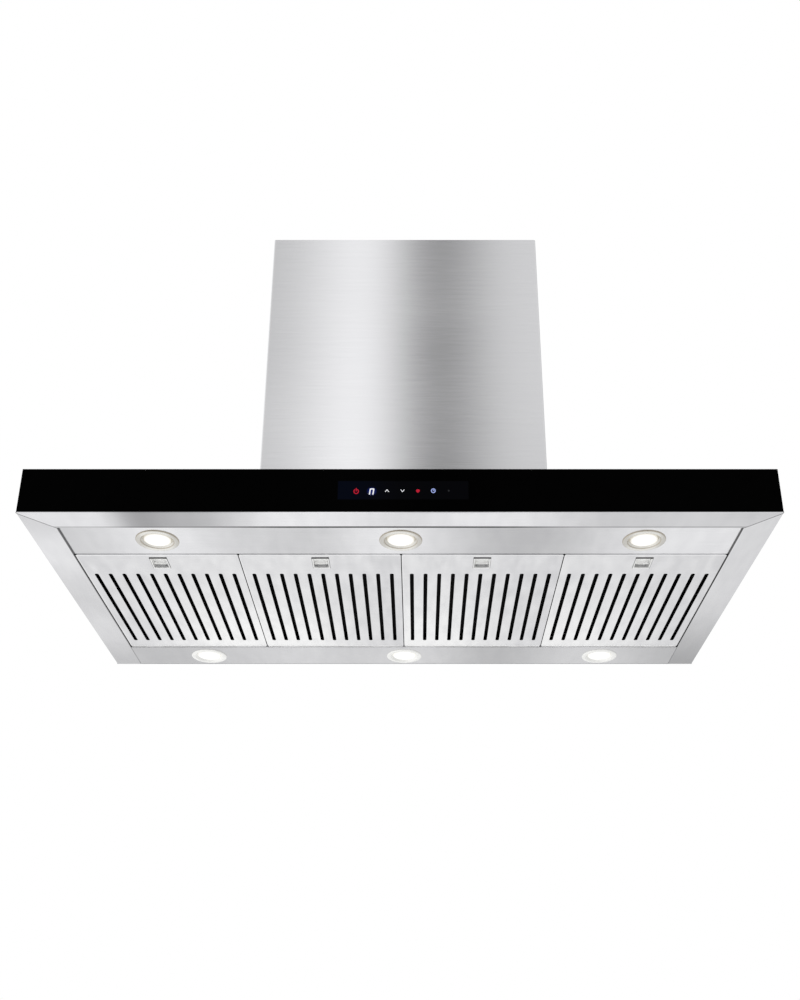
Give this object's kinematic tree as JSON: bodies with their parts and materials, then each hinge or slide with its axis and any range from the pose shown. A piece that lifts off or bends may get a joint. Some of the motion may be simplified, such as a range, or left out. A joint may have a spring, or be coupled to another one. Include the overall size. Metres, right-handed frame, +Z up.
{
  "type": "canopy range hood",
  "caption": "Wall-mounted canopy range hood: black glass front with touch display, round lights, slotted drop-down filters, fan, backdraft damper and telescopic steel chimney.",
  "frame": {"origin": "on the wall plane, on the middle line, level with the underside of the canopy's rim", "axes": "+X to the right as seen from the front, +Y towards the wall, +Z up"},
  "size_m": [1.2, 0.65, 0.862],
  "materials": {
    "brushed_steel": "stainless, fine horizontal brushing",
    "zinc_steel": "zinc-coated sheet, matt",
    "black_plastic": "moulded, fine grain",
    "cast_aluminium": "satin",
    "black_glass": "back-printed tempered glass, gloss",
    "circuit_board": "solder mask",
    "light_lens": "frosted",
    "spring_steel": "rolled",
    "dark_aluminium": "black anodised",
    "latch_zinc": "nickel-plated"
  },
  "bodies": {
    "canopy": {"front_channel": "brushed_steel", "left_side_panel": "brushed_steel", "right_side_panel": "brushed_steel", "top_panel": "brushed_steel", "front_light_panel": "brushed_steel", "rear_light_panel": "brushed_steel", "lower_chimney_cover": "brushed_steel", "rear_panel": "zinc_steel", "blower_box": "zinc_steel", "blower_box_cover": "zinc_steel", "outlet_collar": "zinc_steel", "damper_pin": "zinc_steel", "chimney_screws": "zinc_steel", "cover_screws": "zinc_steel", "control_housing": "black_plastic", "scroll_left_half": "black_plastic", "scroll_right_half": "black_plastic", "electronics_box": "black_plastic", "electronics_lid": "black_plastic", "cable_gland": "black_plastic", "light_housings": "cast_aluminium", "motor": "cast_aluminium", "motor_bracket": "cast_aluminium", "front_glass": "black_glass", "control_board": "circuit_board", "light_lenses": "light_lens", "light_clips": "spring_steel"},
    "fan": {"impeller": "cast_aluminium", "motor_shaft": "zinc_steel"},
    "damper_front": {"damper_flap_front": "zinc_steel"},
    "damper_rear": {"damper_flap_rear": "zinc_steel"},
    "upper_chimney": {"upper_chimney_cover": "brushed_steel", "chimney_top_bracket": "zinc_steel"},
    "filter_1": {"filter_1_frame": "brushed_steel", "filter_1_baffles": "dark_aluminium", "filter_1_latch_cup": "latch_zinc", "filter_1_latch_spring": "spring_steel"},
    "filter_1_latch_slider": {"filter_1_latch": "latch_zinc"},
    "filter_2": {"filter_2_frame": "brushed_steel", "filter_2_baffles": "dark_aluminium", "filter_2_latch_cup": "latch_zinc", "filter_2_latch_spring": "spring_steel"},
    "filter_2_latch_slider": {"filter_2_latch": "latch_zinc"},
    "filter_3": {"filter_3_frame": "brushed_steel", "filter_3_baffles": "dark_aluminium", "filter_3_latch_cup": "latch_zinc", "filter_3_latch_spring": "spring_steel"},
    "filter_3_latch_slider": {"filter_3_latch": "latch_zinc"},
    "filter_4": {"filter_4_frame": "brushed_steel", "filter_4_baffles": "dark_aluminium", "filter_4_latch_cup": "latch_zinc", "filter_4_latch_spring": "spring_steel"},
    "filter_4_latch_slider": {"filter_4_latch": "latch_zinc"}
  },
  "joints": [
    {"name": "chimney_extend", "type": "slide", "parent": "canopy", "child": "upper_chimney", "axis": [0, 0, 1], "range_m": [0, 0.4]},
    {"name": "damper_front_open", "type": "hinge", "parent": "canopy", "child": "damper_front", "pos_m": [0, -0.112, 0.356], "axis": [-1, 0, 0], "range_deg": [0, 75]},
    {"name": "damper_rear_open", "type": "hinge", "parent": "canopy", "child": "damper_rear", "pos_m": [0, -0.112, 0.356], "axis": [1, 0, 0], "range_deg": [0, 75]},
    {"name": "fan_spin", "type": "hinge", "parent": "canopy", "child": "fan", "pos_m": [0, -0.1795, 0.207], "axis": [1, 0, 0], "continuous": true},
    {"name": "filter_1_swing", "type": "hinge", "parent": "canopy", "child": "filter_1", "pos_m": [-0.4125, -0.088, 0.002], "axis": [1, 0, 0], "range_deg": [0, 60]},
    {"name": "filter_1_latch_slide", "type": "slide", "parent": "filter_1", "child": "filter_1_latch_slider", "axis": [0, 1, 0], "range_m": [0, 0.0065], "stiffness_N_per_m": 250, "springref_m": -0.005, "deforming": ["filter_1_latch_spring"]},
    {"name": "filter_2_swing", "type": "hinge", "parent": "canopy", "child": "filter_2", "pos_m": [-0.1375, -0.088, 0.002], "axis": [1, 0, 0], "range_deg": [0, 60]},
    {"name": "filter_2_latch_slide", "type": "slide", "parent": "filter_2", "child": "filter_2_latch_slider", "axis": [0, 1, 0], "range_m": [0, 0.0065], "stiffness_N_per_m": 250, "springref_m": -0.005, "deforming": ["filter_2_latch_spring"]},
    {"name": "filter_3_swing", "type": "hinge", "parent": "canopy", "child": "filter_3", "pos_m": [0.1375, -0.088, 0.002], "axis": [1, 0, 0], "range_deg": [0, 60]},
    {"name": "filter_3_latch_slide", "type": "slide", "parent": "filter_3", "child": "filter_3_latch_slider", "axis": [0, 1, 0], "range_m": [0, 0.0065], "stiffness_N_per_m": 250, "springref_m": -0.005, "deforming": ["filter_3_latch_spring"]},
    {"name": "filter_4_swing", "type": "hinge", "parent": "canopy", "child": "filter_4", "pos_m": [0.4125, -0.088, 0.002], "axis": [1, 0, 0], "range_deg": [0, 60]},
    {"name": "filter_4_latch_slide", "type": "slide", "parent": "filter_4", "child": "filter_4_latch_slider", "axis": [0, 1, 0], "range_m": [0, 0.0065], "stiffness_N_per_m": 250, "springref_m": -0.005, "deforming": ["filter_4_latch_spring"]}
  ]
}
